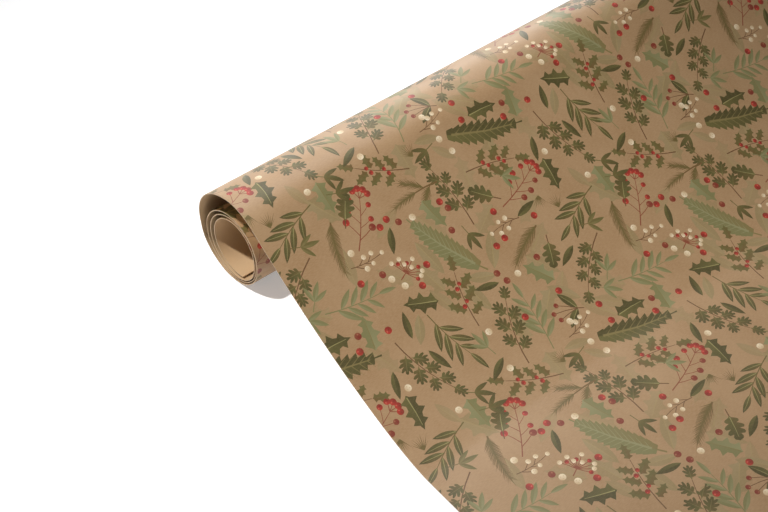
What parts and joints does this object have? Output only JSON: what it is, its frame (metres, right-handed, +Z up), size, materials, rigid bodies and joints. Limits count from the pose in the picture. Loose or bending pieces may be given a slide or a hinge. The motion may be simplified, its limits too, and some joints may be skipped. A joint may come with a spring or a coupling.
{
  "type": "wrapping paper roll",
  "caption": "Coreless roll of printed kraft wrapping paper, partly unrolled: a loosely wound coil with the sheet sloping off its top and lying flat.",
  "frame": {"origin": "on the table, under the middle of the whole model's box", "axes": "+Y along the roll's axis, away from the near end; +X the way the sheet is unrolled; +Z up"},
  "size_m": [0.3566, 0.5248, 0.0524],
  "materials": {
    "printed_kraft": "matte",
    "plain_kraft": "matte"
  },
  "bodies": {
    "roll": {"lead_off": "printed_kraft", "loose_turn": "printed_kraft"},
    "wound_coil": {"second_turn": "printed_kraft"},
    "middle_turn": {"third_turn": "printed_kraft"},
    "inner_turn": {"core_turn": "plain_kraft"},
    "sheet": {"laid_sheet": "printed_kraft"},
    "flap_1": {"sheet_flap_1": "printed_kraft"},
    "flap_2": {"sheet_flap_2": "printed_kraft"},
    "flap_3": {"sheet_flap_3": "printed_kraft"},
    "free_edge": {"free_edge_flap": "printed_kraft"}
  },
  "joints": [
    {"name": "coil_turn", "type": "hinge", "parent": "roll", "child": "wound_coil", "pos_m": [-0.15807, 0, 0.01965], "axis": [0, 1, 0], "range_deg": [-9, 9]},
    {"name": "telescope_middle", "type": "slide", "parent": "wound_coil", "child": "middle_turn", "axis": [0, -1, 0], "range_m": [-0.02, 0.03]},
    {"name": "telescope_inner", "type": "slide", "parent": "middle_turn", "child": "inner_turn", "axis": [0, -1, 0], "range_m": [-0.02, 0.03]},
    {"name": "sheet_lift", "type": "hinge", "parent": "roll", "child": "sheet", "pos_m": [-0.01752, 0, 0.0004], "axis": [0, -1, 0], "range_deg": [0, 40]},
    {"name": "end_curl_1", "type": "hinge", "parent": "sheet", "child": "flap_1", "pos_m": [0.03848, 0, 0.0004], "axis": [0, -1, 0], "range_deg": [0, 24]},
    {"name": "end_curl_2", "type": "hinge", "parent": "flap_1", "child": "flap_2", "pos_m": [0.07347, 0, 0.0004], "axis": [0, -1, 0], "range_deg": [0, 24]},
    {"name": "end_curl_3", "type": "hinge", "parent": "flap_2", "child": "flap_3", "pos_m": [0.10848, 0, 0.0004], "axis": [0, -1, 0], "range_deg": [0, 24]},
    {"name": "end_curl_4", "type": "hinge", "parent": "flap_3", "child": "free_edge", "pos_m": [0.14347, 0, 0.0004], "axis": [0, -1, 0], "range_deg": [0, 24]}
  ],
  "couplings": [
    {"joint": "telescope_inner", "follows": "telescope_middle", "ratio": 1},
    {"joint": "end_curl_2", "follows": "end_curl_1", "ratio": 1},
    {"joint": "end_curl_3", "follows": "end_curl_1", "ratio": 1},
    {"joint": "end_curl_4", "follows": "end_curl_1", "ratio": 1}
  ]
}
